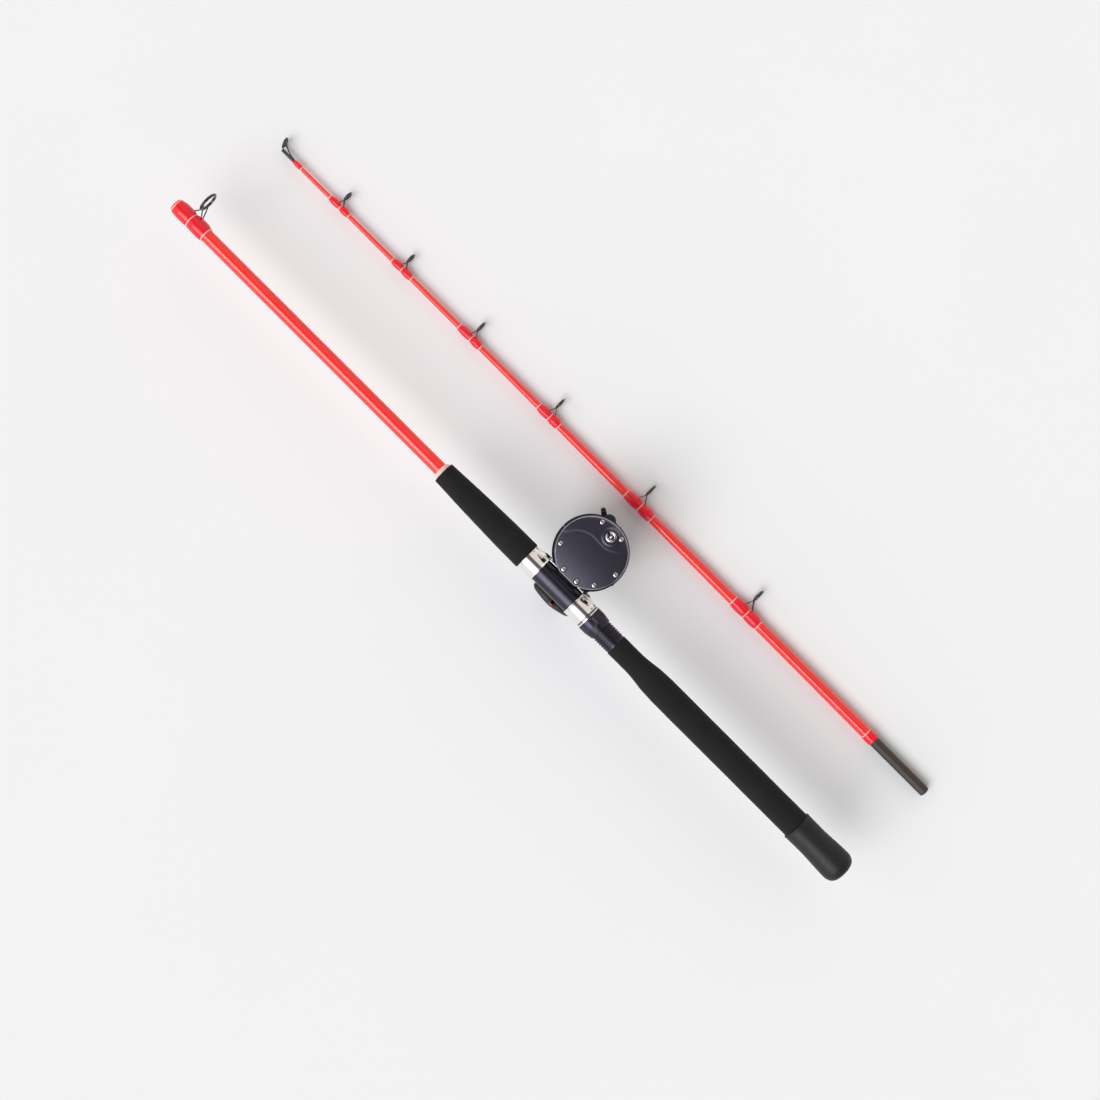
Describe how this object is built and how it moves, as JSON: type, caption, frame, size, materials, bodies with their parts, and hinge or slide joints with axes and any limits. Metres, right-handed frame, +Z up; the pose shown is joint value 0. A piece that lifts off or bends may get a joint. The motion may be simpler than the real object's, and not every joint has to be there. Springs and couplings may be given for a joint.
{
  "type": "fishing rod and reel",
  "caption": "Two-piece boat fishing rod, taken apart, with foam grips, a screw-locking reel seat, ringed guides and a star-drag multiplier reel.",
  "frame": {"origin": "on the floor, in the middle of the outline of the two sections as they lie side by side", "axes": "+Z up, +Y along both sections towards their tips, +X from the butt section towards the reel and the tip section"},
  "size_m": [0.1945, 1.11, 0.1233],
  "materials": {
    "blank_red": "gloss",
    "wrap_crimson": "gloss",
    "trim_white": "gloss",
    "foam_grip": "matte",
    "butt_rubber": "satin",
    "seat_satin": "satin",
    "hood_chrome": "polished",
    "graphite": "satin",
    "guide_black": "gloss",
    "ring_ceramic": "gloss",
    "plate_anodised": "satin",
    "frame_black": "satin",
    "screw_steel": "satin",
    "spool_metal": "satin",
    "shaft_steel": "polished",
    "gear_brass": "satin",
    "drag_fibre": "matte",
    "button_chrome": "polished",
    "crank_black": "satin",
    "knob_black": "satin",
    "rivet_copper": "satin",
    "bush_plastic": "matte"
  },
  "bodies": {
    "butt_section": {"butt_blank": "blank_red", "butt_guide_frame": "guide_black", "butt_guide_ring": "ring_ceramic", "butt_wraps": "wrap_crimson", "butt_trim_bands": "trim_white", "fore_grip": "foam_grip", "winding_check": "trim_white", "rear_grip": "foam_grip", "butt_cap": "butt_rubber", "seat_tube": "seat_satin", "seat_bushings": "bush_plastic", "front_hood": "hood_chrome", "left_frame_ring": "frame_black", "left_side_plate": "plate_anodised", "left_plate_screws": "screw_steel", "frame_pillars": "frame_black", "reel_foot": "hood_chrome", "right_frame_ring": "frame_black", "bridge_plate": "gear_brass", "right_side_plate": "plate_anodised", "right_plate_screws": "screw_steel", "reel_bearings": "shaft_steel", "click_spring": "shaft_steel", "yoke_springs": "shaft_steel"},
    "tip_section": {"tip_blank": "blank_red", "spigot": "graphite", "tip_guide_frame_1": "guide_black", "tip_guide_frame_2": "guide_black", "tip_guide_frame_3": "guide_black", "tip_guide_frame_4": "guide_black", "tip_guide_frame_5": "guide_black", "tip_guide_frame_6": "guide_black", "tip_top_frame": "guide_black", "tip_guide_rings": "ring_ceramic", "tip_wraps": "wrap_crimson", "tip_trim_bands": "trim_white"},
    "moving_hood": {"rear_hood": "hood_chrome"},
    "lock_nut": {"lock_nut": "seat_satin", "nut_ring": "hood_chrome"},
    "spool": {"spool": "spool_metal", "spool_shaft": "shaft_steel", "click_gear": "gear_brass"},
    "clicker": {"click_button": "button_chrome", "click_pawl": "shaft_steel"},
    "crank": {"drive_shaft": "shaft_steel", "ratchet_wheel": "shaft_steel", "main_gear": "gear_brass", "drag_washers": "drag_fibre", "drag_plates": "shaft_steel", "spacer_sleeve": "shaft_steel", "crank_arm": "crank_black", "crank_nut": "screw_steel", "knob_rivet": "rivet_copper"},
    "star": {"star_wheel": "crank_black"},
    "knob": {"crank_knob": "knob_black"},
    "dog": {"anti_reverse_dog": "shaft_steel"},
    "yoke": {"yoke": "gear_brass"},
    "pinion": {"pinion": "gear_brass"},
    "lever": {"freespool_lever": "frame_black", "eccentric_cam": "shaft_steel"}
  },
  "joints": [
    {"name": "crank_turn", "type": "hinge", "parent": "butt_section", "child": "crank", "pos_m": [-0.0288, -0.08671, 0.03], "axis": [0, 0, 1], "continuous": true},
    {"name": "spool_turn", "type": "hinge", "parent": "butt_section", "child": "spool", "pos_m": [-0.018, -0.068, 0.09], "axis": [0, 0, 1], "continuous": true},
    {"name": "knob_spin", "type": "hinge", "parent": "crank", "child": "knob", "pos_m": [-0.0907, -0.07801, 0.02], "axis": [0, 0, 1], "continuous": true},
    {"name": "star_drag_turn", "type": "hinge", "parent": "crank", "child": "star", "pos_m": [-0.0288, -0.08671, 0.041], "axis": [0, 0, 1], "range_deg": [-180, 180]},
    {"name": "freespool_lever_turn", "type": "hinge", "parent": "butt_section", "child": "lever", "pos_m": [0.0183, -0.05855, 0.046], "axis": [0, 0, -1], "range_deg": [0, 50]},
    {"name": "yoke_lift", "type": "slide", "parent": "butt_section", "child": "yoke", "axis": [0, 0, -1], "range_m": [0, 0.0025], "deforming": ["yoke_springs"]},
    {"name": "pinion_turn", "type": "hinge", "parent": "yoke", "child": "pinion", "pos_m": [-0.018, -0.068, 0.06], "axis": [0, 0, 1], "continuous": true},
    {"name": "dog_pivot", "type": "hinge", "parent": "butt_section", "child": "dog", "pos_m": [-0.04505, -0.08384, 0.0627], "axis": [0, 0, 1], "range_deg": [0, 12]},
    {"name": "click_button_slide", "type": "slide", "parent": "butt_section", "child": "clicker", "axis": [-0.9949, 0.1011, 0], "range_m": [0, 0.004]},
    {"name": "hood_slide", "type": "slide", "parent": "butt_section", "child": "moving_hood", "axis": [0, -1, 0], "range_m": [0, 0.0205]},
    {"name": "lock_nut_turn", "type": "hinge", "parent": "moving_hood", "child": "lock_nut", "pos_m": [-0.073, -0.127, 0.09], "axis": [0, -1, 0], "range_deg": [0, 2160]},
    {"name": "tip_section_slide", "type": "slide", "parent": "butt_section", "child": "tip_section", "axis": [0, 1, 0], "range_m": [0, 1.023]}
  ],
  "couplings": [
    {"joint": "spool_turn", "follows": "crank_turn", "ratio": -3.8},
    {"joint": "pinion_turn", "follows": "crank_turn", "ratio": -3.8},
    {"joint": "yoke_lift", "follows": "freespool_lever_turn", "m_per_rad": 0.0028648},
    {"joint": "hood_slide", "follows": "lock_nut_turn", "m_per_rad": 0.00054113}
  ]
}
